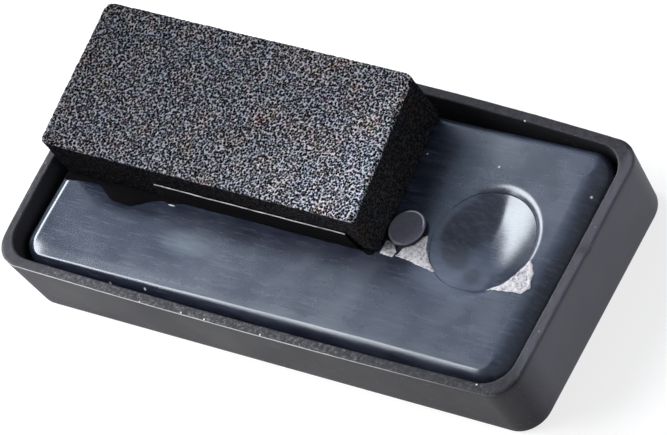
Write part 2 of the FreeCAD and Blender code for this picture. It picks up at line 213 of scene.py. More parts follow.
def mix(tree, factor, a, b, blend="MIX"):
    """Two colours mixed."""
    node = add(tree, "ShaderNodeMix", data_type="RGBA", blend_type=blend)
    feed(tree, node.inputs[0], factor)
    for socket, source in ((node.inputs[6], a), (node.inputs[7], b)):
        feed(tree, socket, (*source, 1) if isinstance(source, tuple) else source)
    return node.outputs[2]


def math_node(tree, operation, a, b):
    """One step of arithmetic on two numbers or other nodes' outputs."""
    node = add(tree, "ShaderNodeMath", {0: a, 1: b}, operation=operation)
    return node.outputs[0]


def product(tree, first, *factors):
    """Numbers or other nodes' outputs multiplied together."""
    for factor in factors:
        first = math_node(tree, "MULTIPLY", first, factor)
    return first


def emboss(tree, shader, height, distance, strength):
    """Surface relief from a height, distance in millimetres."""
    inputs = {"Height": height, "Distance": distance * MM, "Strength": strength}
    tree.links.new(add(tree, "ShaderNodeBump", inputs).outputs["Normal"], shader.inputs["Normal"])


# ---------------------------------------------------------------- materials


def tray_plastic():
    """Near black moulded plastic with a fine grain, painted paler at its ends as painted light, scuffed and
    specked along the rim.

    Old glue crusts the middle of the front rim, whose outer edge carries a painted highlight line, and a few
    faint scratches cross the walls.
    """
    material, tree, shader = new_material("tray_plastic")
    where = place(tree)
    position = add(tree, "ShaderNodeSeparateXYZ", {"Vector": where}).outputs
    grain = noise_node(tree, where, 0.32, 3.0, 0.7)
    cloud = noise_node(tree, where, 14.0, 3.0)
    rim = span(tree, position["Z"], (RIM - 0.50) * MM, (RIM - 0.14) * MM, 0.0, 1.0)
    base = mix(tree, cloud, (0.008, 0.008, 0.010), (0.013, 0.013, 0.016))
    # Painted light: paler towards the left end, where the key falls.
    painted_light_end = span(tree, position["X"], -50 * MM, 30 * MM, 0.6, 0.0)
    base = mix(tree, painted_light_end, base, (0.040, 0.040, 0.046))
    colour = mix(tree, span(tree, grain, 0.3, 0.75, 0.0, 0.6), base, (0.034, 0.034, 0.040))
    scuffed = product(tree, rim, span(tree, grain, 0.42, 0.62, 0.0, 0.4))
    colour = mix(tree, scuffed, colour, (0.050, 0.050, 0.056))
    # The crust of glue.
    front = span(tree, position["Y"], -23.2 * MM, -24.2 * MM, 0.0, 1.0)
    from_left = span(tree, position["X"], -47 * MM, -38 * MM, 0.0, 1.0)
    to_right = span(tree, position["X"], 22 * MM, 30 * MM, 1.0, 0.35)
    lumpy = span(tree, noise_node(tree, where, 0.7, 4.0, 0.8), 0.5, 0.62, 0.0, 0.9)
    crust = product(tree, front, to_right, from_left, rim, lumpy)
    colour = mix(tree, crust, colour, (0.13, 0.14, 0.14))
    # White flecks: the centres of a few of the cells on the rim.
    fleck_size = 1.7
    near_centre = span(tree, cells(tree, where, fleck_size), 0.07, 0.12, 1.0, 0.0)
    chosen = span(tree, cells(tree, where, fleck_size, output="Color"), 0.66, 0.68, 0.0, 1.0)
    colour = mix(tree, product(tree, near_centre, chosen, rim), colour, (0.75, 0.75, 0.75))
    # A painted highlight along the front rim's outer edge, which fades to the right.
    outer = span(tree, position["Y"], -24.6 * MM, -24.9 * MM, 0.0, 1.0)
    above = span(tree, position["Z"], (RIM - 0.50) * MM, (RIM - 0.42) * MM, 0.0, 1.0)
    below = span(tree, position["Z"], (RIM - 0.30) * MM, (RIM - 0.20) * MM, 1.0, 0.0)
    fading = span(tree, position["X"], 15 * MM, 48 * MM, 0.8, 0.1)
    colour = mix(tree, product(tree, above, below, outer, fading), colour, (0.60, 0.60, 0.60))
    # The scratches.
    drawn_out = noise_node(tree, place(tree, (0.18, 1.6, 1.6), 0.25), 0.5, 2.0)
    scratch = span(tree, drawn_out, 0.715, 0.745, 0.0, 0.40)
    colour = mix(tree, scratch, colour, (0.30, 0.30, 0.32))
    # Painted light: the right end is painted paler than the front.
    right_wall = span(tree, position["X"], 52.4 * MM, 53.6 * MM, 0.0, 0.8)
    past_corner = span(tree, position["Y"], -22 * MM, -16 * MM, 0.0, 1.0)
    colour = mix(tree, product(tree, right_wall, past_corner), colour, (0.078, 0.078, 0.096))
    feed(tree, shader.inputs["Base Color"], colour)
    feed(tree, shader.inputs["Roughness"], span(tree, cloud, 0.3, 0.7, 0.50, 0.62))
    shader.inputs["Specular IOR Level"].default_value = 0.2
    shader.inputs["Specular Tint"].default_value = (0.84, 0.84, 1.0, 1)
    emboss(tree, shader, grain, 0.05, 0.6)
    return material


def oval_reach(tree, where, centre, radii):
    """How far a point is from an oval's centre, as a share of the oval's radii, seen from above."""
    moved = {
        "Vector": where,
        "Location": (-centre[0] / radii[0], -centre[1] / radii[1], 0),
        "Scale": (1 / (radii[0] * MM), 1 / (radii[1] * MM), 0),
    }
    mapped = add(tree, "ShaderNodeMapping", moved).outputs[0]
    return add(tree, "ShaderNodeVectorMath", {0: mapped}, operation="LENGTH").outputs["Value"]


# Ovals of painted light on the film: a painted sheen on a dent, a painted sheen low in the dish and a painted
# glint.
DENT_SHEEN = ((-20.5, -12.8), (5.3, 2.4))  # an oval's centre and radii, like the two below
DISH_SHEEN = ((DISH[0] - 1.5, DISH[1] - 6.6), (8.5, 5.5))
FOLD_GLINT = ((-26.9, -6.45), (0.80, 0.14))


def reservoir_skin(name, glossy, dull):
    """Glossy slate blue film, mottled and finely brushed, from glossy at the left to dull at the right.

    It has a painted sheen in two ovals and down its left edge, dust specks and one painted glint.
    """
    material, tree, shader = new_material(name)
    where = place(tree)
    position = add(tree, "ShaderNodeSeparateXYZ", {"Vector": where}).outputs
    cloud = noise_node(tree, where, 9.0, 4.0, 0.6)
    streaks = noise_node(tree, place(tree, (0.16, 1.0, 1.0), 0.12), 1.1, 5.0, 0.7)
    grain = noise_node(tree, where, 0.5, 3.0, 0.7)
    mottle = span(tree, cloud, 0.35, 0.65, 0.0, 1.0)
    colour = mix(tree, mottle, (0.008, 0.011, 0.025), (0.017, 0.022, 0.045))
    colour = mix(tree, span(tree, streaks, 0.40, 0.75, 0.0, 0.40), colour, (0.050, 0.062, 0.100))
    brushed = noise_node(tree, place(tree, (0.12, 1.0, 1.0), 0.10), 0.6, 3.0, 0.6)
    colour = mix(tree, span(tree, brushed, 0.48, 0.75, 0.0, 0.26), colour, (0.13, 0.15, 0.20))
    # Painted light: a milky sheen painted on the dent, in place of its reflection.
    dent_sheen = span(tree, oval_reach(tree, where, *DENT_SHEEN), 0.1, 1.25, 0.42, 0.0)
    dent_sheen = product(tree, dent_sheen, span(tree, streaks, 0.3, 0.6, 0.6, 1.0))
    colour = mix(tree, dent_sheen, colour, (0.30, 0.36, 0.42))
    # Painted light: a paler band down the left shoulder, where it faces the key.
    left_sheen = span(tree, position["X"], (FILM_LOW[0] + 1.9) * MM, (FILM_LOW[0] + 1.2) * MM, 0.0, 0.7)
    colour = mix(tree, left_sheen, colour, (0.10, 0.13, 0.17))
    # Painted light: lighter low in the dish, in place of its reflection.
    dish_sheen = span(tree, oval_reach(tree, where, *DISH_SHEEN), 0.1, 1.2, 0.36, 0.0)
    colour = mix(tree, dish_sheen, colour, (0.30, 0.35, 0.46))
    speck_size = 5.5
    near_centre = span(tree, cells(tree, where, speck_size), 0.036, 0.060, 1.0, 0.0)
    chosen = span(tree, cells(tree, where, speck_size, output="Color"), 0.56, 0.58, 0.0, 1.0)
    off_dish = span(tree, oval_reach(tree, where, DISH, (OPENING, OPENING)), 1.0, 1.05, 0.0, 1.0)
    speck = product(tree, near_centre, chosen, off_dish)
    # Painted highlight: one pale dash, a glint on a fold by the foam.
    fold_glint = span(tree, oval_reach(tree, where, *FOLD_GLINT), 0.7, 1.0, 1.0, 0.0)
    pale = math_node(tree, "MAXIMUM", speck, fold_glint)
    feed(tree, shader.inputs["Base Color"], mix(tree, pale, colour, (0.85, 0.88, 0.90)))
    sheen = span(tree, position["X"], -45 * MM, 10 * MM, glossy, dull)
    sheen = product(tree, sheen, span(tree, cloud, 0.3, 0.7, 0.85, 1.2))
    front_edge = span(tree, position["Y"], (FILM_LOW[1] + 3.6) * MM, (FILM_LOW[1] + 2.4) * MM, 0.0, 0.05)
    feed(tree, shader.inputs["Roughness"], math_node(tree, "ADD", sheen, front_edge))
    shader.inputs["IOR"].default_value = 2.0
    shader.inputs["Specular Tint"].default_value = (0.86, 0.93, 1.0, 1)
    emboss(tree, shader, mix(tree, 0.12, streaks, grain), 0.05, 0.25)
    return material


def foam():
    """Charcoal foam: dark pores between pale struts, with its top painted as lit and its cut sides painted
    nearly black as shade.

    It is painted brighter towards the front right corner: painted light.
    """
    material, tree, shader = new_material("foam")
    where = place(tree)
    position = add(tree, "ShaderNodeSeparateXYZ", {"Vector": where}).outputs
    pores = cells(tree, where, 0.44)
    crumbs = noise_node(tree, where, 0.36, 2.0, 0.8)
    crumbled = math_node(tree, "ADD", pores, span(tree, crumbs, 0.3, 0.7, -0.28, 0.28))
    spread = span(tree, crumbled, 0.12, 0.78, 0.0, 1.0)
    # Painted light: the top's tones (worn) are painted as lit, and the sides' tones as in shade.
    worn = ramp(tree, spread, (0.22, 0.003), (0.50, 0.05), (0.74, 0.26), (0.98, 0.85))
    side_shade_and_next_ring = ramp(tree, spread, (0.25, 0.009), (0.62, 0.018), (0.98, 0.040))
    on_top = span(tree, position["Z"], (FOAM_HIGH[2] - 0.75) * MM, (FOAM_HIGH[2] - 0.40) * MM, 0.0, 1.0)
    face = mix(tree, on_top, side_shade_and_next_ring, worn)
    bluish, neutral, reddish = (0.68, 0.76, 1.0), (0.88, 0.86, 1.0), (1.0, 0.72, 0.66)
    hue = ramp(tree, noise_node(tree, where, 5.0, 3.0), (0.34, bluish), (0.55, neutral), (0.74, reddish))
    hue = mix(tree, 0.16, hue, cells(tree, where, 0.7, output="Color"))
    tinted = mix(tree, 0.8, face, hue, "MULTIPLY")
    # Painted light: the foam grows brighter towards the front right corner.
    nearer = math_node(tree, "SUBTRACT", position["X"], position["Y"])
    painted_corner_light = span(tree, nearer, -12 * MM, 24 * MM, 0.0, 0.45)
    bright = math_node(tree, "ADD", span(tree, nearer, -75 * MM, 24 * MM, 0.27, 0.66), painted_corner_light)
    feed(tree, shader.inputs["Base Color"], mix(tree, bright, (0.0, 0.0, 0.0), tinted))
    shader.inputs["Roughness"].default_value = 0.7
    shader.inputs["Specular IOR Level"].default_value = 0.0
    emboss(tree, shader, pores, 0.2, 0.7)
    return material


def carrier_film():
    """Thin black film with a painted highlight along the cut edge at the top of its lip."""
    material, tree, shader = new_material("carrier_film")
    where = place(tree)
    position = add(tree, "ShaderNodeSeparateXYZ", {"Vector": where}).outputs
    crease = noise_node(tree, place(tree, (0.3, 1, 1)), 2.5, 3.0)
    black = mix(tree, crease, (0.004, 0.004, 0.005), (0.008, 0.008, 0.009))
    # Painted highlight: the top of the lip is painted pale where it catches the light.
    cut = span(tree, position["Z"], (CARRIER_HIGH[2] - 0.16) * MM, (CARRIER_HIGH[2] - 0.06) * MM, 0.0, 1.0)
    uneven = span(tree, noise_node(tree, where, 3.0, 3.0), 0.3, 0.6, 0.25, 1.0)
    edge = product(tree, cut, uneven)
    feed(tree, shader.inputs["Base Color"], mix(tree, edge, black, (0.70, 0.69, 0.71)))
    feed(tree, shader.inputs["Roughness"], span(tree, crease, 0.3, 0.7, 0.45, 0.6))
    shader.inputs["Specular IOR Level"].default_value = 0.0
    emboss(tree, shader, crease, 0.1, 0.3)
    return material


GLINT_WAY = (0.41, 0.91)  # from the port's axis to the middle of the longer arc of painted highlight


def port_plastic():
    """Dark plastic with a fine grain, painted black down its side as shade, with arcs of painted highlight
    round its top edge.
    """
    material, tree, shader = new_material("port_plastic")
    where = place(tree)
    position = add(tree, "ShaderNodeSeparateXYZ", {"Vector": where}).outputs
    grain = noise_node(tree, where, 0.5, 3.0)
    face = mix(tree, grain, (0.11, 0.11, 0.15), (0.19, 0.19, 0.25))
    # Painted shade: below its top the plug's side is painted black.
    on_top = span(tree, position["Z"], (PLUG_HIGH[2] - 0.30) * MM, (PLUG_HIGH[2] - 0.16) * MM, 0.0, 1.0)
    pair = {0: where, 1: (*(PORT * MM), 0)}
    from_axis = add(tree, "ShaderNodeVectorMath", pair, operation="SUBTRACT").outputs[0]
    flat = add(tree, "ShaderNodeVectorMath", {0: from_axis, 1: (1, 1, 0)}, operation="MULTIPLY").outputs[0]
    radius = add(tree, "ShaderNodeVectorMath", {0: flat}, operation="LENGTH").outputs["Value"]
    pair = {0: flat, 1: (*GLINT_WAY, 0)}
    along = add(tree, "ShaderNodeVectorMath", pair, operation="DOT_PRODUCT").outputs["Value"]
    facing = math_node(tree, "DIVIDE", along, radius)
    # Painted highlight: pale arcs on the rounded edge, the longer one on the far side.
    outside = span(tree, radius, 2.94 * MM, 3.06 * MM, 0.0, 1.0)
    inside = span(tree, radius, 3.14 * MM, 3.24 * MM, 1.0, 0.0)
    far_arc = span(tree, facing, 0.50, 0.80, 0.0, 1.0)
    near_arc = span(tree, facing, -0.95, -0.75, 0.35, 0.0)
    edge_glint = product(tree, product(tree, outside, inside), math_node(tree, "ADD", far_arc, near_arc))
    face = mix(tree, edge_glint, face, (0.80, 0.84, 0.90))
    feed(tree, shader.inputs["Base Color"], mix(tree, on_top, (0.003, 0.003, 0.004), face))
    feed(tree, shader.inputs["Roughness"], span(tree, grain, 0.3, 0.7, 0.28, 0.42))
    emboss(tree, shader, grain, 0.04, 0.4)
    return material


def glue_residue():
    """Dried glue, off-white with a faint pink, crazed with dark cracks."""
    material, tree, shader = new_material("glue_residue")
    where = place(tree)
    cracks = cells(tree, where, 0.9, "DISTANCE_TO_EDGE")
    lumps = noise_node(tree, where, 0.7, 5.0, 0.75)
    base = mix(tree, span(tree, lumps, 0.3, 0.7, 0.0, 1.0), (0.42, 0.42, 0.48), (0.80, 0.77, 0.79))
    crack = product(tree, span(tree, cracks, 0.0, 0.09, 1.0, 0.0), span(tree, lumps, 0.46, 0.56, 1.0, 0.0))
    feed(tree, shader.inputs["Base Color"], mix(tree, crack, base, (0.08, 0.08, 0.11)))
    shader.inputs["Roughness"].default_value = 0.5
    emboss(tree, shader, lumps, 0.2, 0.8)
    return material


def plain_grain(name, low, high, roughness, size):
    """An inner material: two tones of one colour in a fine grain."""
    material, tree, shader = new_material(name)
    grain = noise_node(tree, place(tree), size, 4.0)
    feed(tree, shader.inputs["Base Color"], mix(tree, grain, low, high))
    feed(tree, shader.inputs["Roughness"], span(tree, grain, 0.3, 0.7, roughness, roughness + 0.1))
    emboss(tree, shader, grain, 0.05, 0.5)
    return material


# ---------------------------------------------------------------- the tray's outline

WALL = 1.8
RIGHT_WALL = 2.4
DRAFT = {LEFT: 1.0, RIGHT: 1.0, FRONT: 0.7, BACK: 0.7}  # how far each side leans out from base to rim
BOW = {LEFT: 0.9, FRONT: 0.6, RIGHT: 0.1, BACK: 1.6}  # how far each side's rim bows out at its middle
RIM_CORNER = 5.0  # the radius of the corners, the same inside and out
LONG_STEPS = 220
SHORT_STEPS = 100
CORNER_STEPS = 18


def tray_outline(height, insets):
    """Points round the tray at a height, anticlockwise, each side moved in from its outer wall."""
    lean = 1 - height / RIM
    left = TRAY_LOW[0] + BOW[LEFT] + DRAFT[LEFT] * lean + insets[LEFT]
    front = TRAY_LOW[1] + BOW[FRONT] + DRAFT[FRONT] * lean + insets[FRONT]
    right = TRAY_HIGH[0] - BOW[RIGHT] - DRAFT[RIGHT] * lean - insets[RIGHT]
    back = TRAY_HIGH[1] - BOW[BACK] - DRAFT[BACK] * lean - insets[BACK]
    radius = RIM_CORNER
    centres = [(right - radius, front + radius), (right - radius, back - radius)]
    centres += [(left + radius, back - radius), (left + radius, front + radius)]
    points = []
    for side, (x, y) in enumerate(centres):
        start = math.radians(side * 90 - 90)
        before = centres[side - 1]
        steps = SHORT_STEPS if side % 2 else LONG_STEPS
        way = np.array([math.cos(start), math.sin(start)]) * radius
        for t in np.linspace(0, 1, steps, endpoint=False):
            points.append(np.array(before) * (1 - t) + np.array((x, y)) * t + way)
        for angle in np.linspace(start, start + math.pi / 2, CORNER_STEPS, endpoint=False):
            points.append(np.array([x + radius * math.cos(angle), y + radius * math.sin(angle)]))
    points = np.array(points)
    middle = np.array([(left + right) / 2, (front + back) / 2])
    u, v = ((points - middle) / (np.array([right - left, back - front]) / 2)).T
    rise = height / RIM
    across = np.where(u < 0, -BOW[LEFT], BOW[RIGHT]) * (1 - v**2) * np.abs(u)
    along = np.where(v < 0, -BOW[FRONT], BOW[BACK]) * (1 - u**2) * np.abs(v)
    return points + rise * np.stack([across, along], axis=1)


def even(inset):
    """The same inset on every side, except that the right wall is thicker in proportion."""
    return {LEFT: inset, FRONT: inset, RIGHT: inset * RIGHT_WALL / WALL, BACK: inset}


# ---------------------------------------------------------------- tray


def tray(material):
    """The moulded shell, with a rim that is worn, nicked and a little uneven."""
    base_edge, rim_edge, inner_edge, floor = 0.8, 0.45, 0.3, 2.0
    nick_x, nick_y, nick_depth = 55, 3.9, 0.35
    profile = [(6.0, 0.0), (2.5, 0.0)]
    quarter = np.linspace(0, math.pi / 2, 7)
    profile += [(base_edge * (1 - math.sin(a)), base_edge * (1 - math.cos(a))) for a in quarter]
    profile += [(0.0, z) for z in np.linspace(base_edge, RIM - rim_edge, 14)[1:-1]]
    profile += [(rim_edge * (1 - math.cos(a)), RIM - rim_edge * (1 - math.sin(a))) for a in quarter]
    profile += [(inset, RIM) for inset in np.linspace(rim_edge, WALL - inner_edge, 7)[1:-1]]
    profile += [
        (WALL - inner_edge * (1 - math.sin(a)), RIM - inner_edge * (1 - math.cos(a))) for a in quarter
    ]
    profile += [(WALL, z) for z in np.linspace(RIM - inner_edge, floor, 10)[1:]]
    profile += [(WALL + 4.0, floor)]
    rings = []
    for inset, height in profile:
        near_rim = float(smooth(RIM - 1.6, RIM - 0.2, height))
        ring = []
        for x, y in tray_outline(height, even(inset)):
            fine = rough((x, y, height), 0.9) * 0.045 + rough((x, y, height), 4.0) * 0.03
            nick = nick_depth * bump(x, nick_x, 1.2) * bump(y, nick_y, 0.8)
            ring.append((x, y, height - near_rim * (0.05 + fine + nick) if height > floor else height))
        rings.append(ring)
    points, faces = closed(rings)
    return make("tray_shell", points, faces, "tray_body", material, ["tray"])


# ---------------------------------------------------------------- reservoir film

FILM_CORNERS = (6.0, 5.0, 4.5, 4.5)  # front right, back right, back left, front left
FILM_THICKNESS = 0.25
SHOULDER_WIDTH = {LEFT: 2.3, FRONT: 2.0, RIGHT: 5.0, BACK: 1.6}
SHOULDER_DROP = {LEFT: 1.7, FRONT: 2.4, RIGHT: 2.8, BACK: 1.4}
OUTWARD = {LEFT: (-1, 0), FRONT: (0, -1), RIGHT: (1, 0), BACK: (0, 1)}
OPENING = 9.4  # the radius of the film's opening for the dish
PORT_HOLE = 2.9
HOLES = [(DISH, OPENING, 1.8), (PORT, PORT_HOLE, 1.2)]  # each one's centre, radius and rings' width
FILM_STEP = 0.5  # the size of the film's mesh
ROUND_STEPS = 120  # points round each hole, and round the dish that meets one of them
LIP_WIDTH = 1.6
LIP_RADIUS = 1.9
LIP_FACING = math.radians(17)  # the way from the dish's centre to where its lip is deepest
CUT_LINE = -5.6  # a faint crease follows the line of the foam's cut across the film
# A skirt hangs from an edge of the film, by steps of (distance out, change in height). The one round the
# outside reaches the seal, and the ones in the holes hang straight down.
OUTER_SKIRT = [(0.0, -1.0), (0.05, -1.6), (0.5, -2.0), (0.6, -2.3)]
HOLE_SKIRT = [(0.0, -0.12), (0.0, -0.5)]


def lip_share(angle):
    """How much of a lip there is at an angle round the dish: all on one side, next to none on the other."""
    return 0.04 + 0.96 * float(smooth(-0.45, 0.35, math.cos(angle - LIP_FACING)))


def lip_depth(angle, away):
    """How far the film has rolled down at an angle round the dish and a distance from its opening."""
    along = LIP_WIDTH * min(1.0, max(0.0, 1 - away / LIP_WIDTH))
    return lip_share(angle) * (LIP_RADIUS - math.sqrt(LIP_RADIUS**2 - along**2))


def film_top(x, y):
    """The film's own height away from its edges."""
    corner_rise = 1.0 * smooth(15, 48, x) * smooth(5, 22, y)
    corner_droop = -0.40 * math.exp(-(((x + 50.8) / 2.6) ** 2) - ((y + 21.8) / 2.2) ** 2)
    dent = -0.10 * math.exp(-(((x + 20) / 6.5) ** 2) - ((y + 12.5) / 3.6) ** 2)
    waves = 0.07 * rough((x * 0.6, y, 0), 12.0, 2)
    crease = -0.07 * bump(y, CUT_LINE, 0.2) * float(smooth(16, 19, x) * smooth(48, 46, x))
    away = math.hypot(x - DISH[0], y - DISH[1]) - OPENING
    lip = -lip_depth(math.atan2(y - DISH[1], x - DISH[0]), away)
    return FILM_TOP + float(corner_rise) + corner_droop + dent + waves + crease + lip


def film_edge():
    """The film's outline: a rounded rectangle with a slight waver, anticlockwise."""
    centres = []
    for radius, (sign_x, sign_y) in zip(FILM_CORNERS, ((1, -1), (1, 1), (-1, 1), (-1, -1))):
        x = (FILM_HIGH[0] - radius) if sign_x > 0 else (FILM_LOW[0] + radius)
        y = (FILM_HIGH[1] - radius) if sign_y > 0 else (FILM_LOW[1] + radius)
        centres.append(np.array([x, y]))
    points = []
    for side, radius in enumerate(FILM_CORNERS):
        start = math.radians(side * 90 - 90)
        way = np.array([math.cos(start), math.sin(start)])
        begin, end = centres[side - 1] + way * FILM_CORNERS[side - 1], centres[side] + way * radius
        steps = SHORT_STEPS // 2 if side % 2 else LONG_STEPS // 2
        points += [begin * (1 - t) + end * t for t in np.linspace(0, 1, steps, endpoint=False)]
        for angle in np.linspace(start, start + math.pi / 2, CORNER_STEPS, endpoint=False):
            points.append(centres[side] + radius * np.array([math.cos(angle), math.sin(angle)]))
    waver = [1 + 0.002 * rough((x, y, 0), 9.0, 2) for x, y in points]
    return np.array(points) * np.array(waver)[:, None]


def shoulder(edge):
    """Round the film's edge: the way out, the shoulder's width and drop, and the power that flattens it."""
    along = np.roll(edge, -1, axis=0) - np.roll(edge, 1, axis=0)
    outward = np.stack([along[:, 1], -along[:, 0]], axis=1) / np.linalg.norm(along, axis=1)[:, None]
    width, drop = np.zeros(len(edge)), np.zeros(len(edge))
    for side, facing in OUTWARD.items():
        share = np.clip(outward @ np.array(facing), 0, None) ** 2
        width += share * SHOULDER_WIDTH[side]
        drop += share * SHOULDER_DROP[side]
    # The front shoulder narrows to the left. It slopes flatter than a quarter round, to a sharper fold.
    at_front = np.clip(-outward[:, 1], 0, None) ** 2
    width *= 1 - 0.35 * at_front * (1 - smooth(-48, 30, edge[:, 0]))
    return outward, width, drop, 1 + 0.33 * at_front


def film_points(edge, tree, outward, width, drop, fold):
    """The points of the film's top, and the loops of them round its edge and its two holes."""
    points = []
    # The shoulder's rings crowd together towards its top, and two more lie flat just inside it.
    for angle in math.pi / 2 * (1 - np.linspace(1, 0, 17) ** 1.4):
        ring = edge - outward * (width * (1 - max(math.cos(angle), 0) ** fold))[:, None]
        for (x, y), fall, power in zip(ring, drop, fold):
            points.append((x, y, film_top(x, y) - fall * (1 - math.sin(angle) ** power)))
    for inward in (0.12, 0.28):
        for x, y in edge - outward * (width + inward)[:, None]:
            points.append((x, y, film_top(x, y)))
    loops = [range(len(edge))]
    for centre, hole, reach in HOLES:
        loops.append(range(len(points), len(points) + ROUND_STEPS))
        for radius in np.linspace(hole, hole + reach, 13):
            for angle in np.linspace(0, 2 * math.pi, ROUND_STEPS, endpoint=False):
                x, y = centre[0] + radius * math.cos(angle), centre[1] + radius * math.sin(angle)
                points.append((x, y, film_top(x, y)))
    # A grid of equal triangles fills what the rings leave.
    (left, front), (right, back) = edge.min(axis=0), edge.max(axis=0)
    for row, y in enumerate(np.arange(front, back, FILM_STEP * 0.866)):
        for x in np.arange(left + FILM_STEP / 2 * (row % 2), right, FILM_STEP):
            _, item, distance = tree.find((x, y, 0))
            inside = (np.array([x, y]) - edge[item]) @ outward[item] < 0
            clear = all(math.hypot(x - c[0], y - c[1]) > r + reach + 0.2 for c, r, reach in HOLES)
            if inside and clear and distance > width[item] + 0.5:
                points.append((x, y, film_top(x, y)))
    return points, loops


def film(material):
    """The reservoir's upper skin: soft shoulders, a lip round the dish's opening and the port's hole."""
    edge = film_edge()
    tree = kdtree.KDTree(len(edge))
    for item, (x, y) in enumerate(edge):
        tree.insert((x, y, 0), item)
    tree.balance()
    outward, *slope = shoulder(edge)
    chosen, loops = film_points(edge, tree, outward, *slope)
    edges = [(loop[i], loop[(i + 1) % len(loop)]) for loop in loops for i in range(len(loop))]
    flat = [Vector(point[:2]) for point in chosen]
    places, _, triangles, origins, _, _ = delaunay_2d_cdt(flat, edges, [], 0, 1e-7)
    new_index = {old: new for new, olds in enumerate(origins) for old in olds}
    points = [(x, y, chosen[origins[i][0]][2]) for i, (x, y) in enumerate(places)]
    faces = []
    for triangle in triangles:
        x, y = np.mean([places[i] for i in triangle], axis=0)
        _, item, _ = tree.find((x, y, 0))
        in_hole = any(math.hypot(x - c[0], y - c[1]) < r - 0.005 for c, r, _ in HOLES)
        if not in_hole and (np.array([x, y]) - edge[item]) @ outward[item] < 0.001:
            faces.append(tuple(triangle))
    for loop, shape in zip(loops, (OUTER_SKIRT, HOLE_SKIRT, HOLE_SKIRT)):
        outside = loop is loops[0]
        last = [new_index[i] for i in loop]
        for out, change in shape:
            side_shade_and_next_ring = range(len(points), len(points) + len(loop))
            for item, i in enumerate(loop):
                x, y, z = chosen[i]
                if outside:
                    x, y = np.array([x, y]) + outward[item] * out
                points.append((x, y, z + change))
            for item in range(len(loop)):
                after = (item + 1) % len(loop)
                quad = (last[item], side_shade_and_next_ring[item], side_shade_and_next_ring[after], last[after])
                faces.append(quad if outside else tuple(reversed(quad)))
            last = side_shade_and_next_ring
    nodes = ["reservoir_film"]
    piece = make("reservoir_upper_film", points, faces, "tray_body", material, nodes)
    thickness = piece.modifiers.new("thickness", "SOLIDIFY")
    thickness.thickness = FILM_THICKNESS * MM
    thickness.offset = -1
    return piece


# ---------------------------------------------------------------- dish and port


def eased_bowl(share):
    """How high a bowl stands at this share of its radius when its slope dies away just inside its edge."""
    steps = np.linspace(0, 1, 201)
    rise = np.cumsum(steps * (1 - smooth(0.55, 1.0, steps)))
    return float(np.interp(share, steps, rise / rise[-1]))


def dish(material):
    """The pressed dish: a bowl that is steep up to the film's lip, and eases into the film opposite it."""
    thick, rim, below_film = 0.4, OPENING - 0.05, 0.02
    bottom = DISH_LOW[2] + thick
    shares = np.sin(np.linspace(0, math.pi / 2, 44))[1:]
    profile = [(share, 0) for share in shares] + [(share, thick) for share in reversed(shares)]
    edge = turned(DISH, [(OPENING, 0)], ROUND_STEPS)[0]
    edge_height = [film_top(x, y) - below_film for x, y, _ in edge]
    wavy = []
    for share, below in [(0.015, 0), *profile, (0.015, thick)]:
        ring = []
        for item, (x, y, _) in enumerate(turned(DISH, [(rim * share, 0)], ROUND_STEPS)[0]):
            steep = lip_share(math.atan2(y - DISH[1], x - DISH[0]))
            depth = edge_height[item] - bottom
            bowl = steep * share**2 + (1 - steep) * eased_bowl(share)
            ring.append((x, y, bottom + depth * bowl - below + 0.02 * rough((x, y, 3), 5.0, 2)))
        wavy.append(ring)
    points, faces = closed(wavy)
    faces = [tuple(reversed(corners)) for corners in faces]
    return make("dosing_dish_skin", points, faces, "dish_body", material, ["dosing_dish"])


def plug(material):
    """The port's plug: a low disc with a soft edge and a faint dished top."""
    head, low, high = PLUG_HIGH[0] - PORT[0], BUSH_TOP, PLUG_HIGH[2]
    stem, edge, hollow = 2.0, 0.28, 0.10
    profile = [(0.1, PLUG_LOW[2]), (stem, PLUG_LOW[2]), (stem, low), (head - 0.05, low), (head, low + 0.05)]
    for angle in np.linspace(0, math.pi / 2, 8):
        profile.append((head - edge * (1 - math.cos(angle)), high - edge * (1 - math.sin(angle))))
    for radius in np.linspace(head - edge, 0.1, 12)[1:]:
        profile.append((radius, high - hollow * (1 - (radius / head) ** 2)))
    points, faces = closed(turned(PORT, profile))
    return make("port_plug_disc", points, faces, "plug_body", material, ["port_plug"])


# ---------------------------------------------------------------- foam, its carrier film and the glue

FOAM_STEP = 0.21  # the size of the foam's mesh
FOAM_CELL = 0.5  # the size of its pits
OVERHANG_FROM = 14.5  # the height above which the foam spreads out at its back left
LEFT_OVERHANG = 2.4
BACK_OVERHANG = 0.4


def foam_point(u, v, height, inset):
    """A point of the foam's outline (u or v at 0 or 1) or of a level inside it."""
    top = smooth(OVERHANG_FROM, FOAM_HIGH[2], height)
    rise = (height - FOAM_LOW[2]) / (FOAM_HIGH[2] - FOAM_LOW[2])
    left = FOAM_LOW[0] + 0.3 - LEFT_OVERHANG * v * top
    # The right end was cut aslant: its back corner is left of its front one, and leans further left.
    right_front = FOAM_HIGH[0] + 0.13
    right_back = 14.1 - 1.2 * rise
    right = right_front + (right_back - right_front) * v
    front = FOAM_LOW[1] + 0.2 - 0.4 * rise
    back = FOAM_HIGH[1] + 0.4 + BACK_OVERHANG * top
    x = left + inset + (right - left - 2 * inset) * u
    y = front + inset + (back - front - 2 * inset) * v
    for corner_x, corner_y, radius in (
        (left, front, 1.0),
        (right, front, 0.5),
        (right, back, 1.4),
        (left, back, 1.8),
    ):
        centre_x = corner_x + math.copysign(radius, (left + right) / 2 - corner_x)
        centre_y = corner_y + math.copysign(radius, (front + back) / 2 - corner_y)
        p = (centre_x - x) * math.copysign(1, (left + right) / 2 - corner_x)
        q = (centre_y - y) * math.copysign(1, (front + back) / 2 - corner_y)
        if p > 0 and q > 0:
            scale = max(p, q) / math.hypot(p, q)
            x = centre_x + (x - centre_x) * scale
            y = centre_y + (y - centre_y) * scale
    return x, y


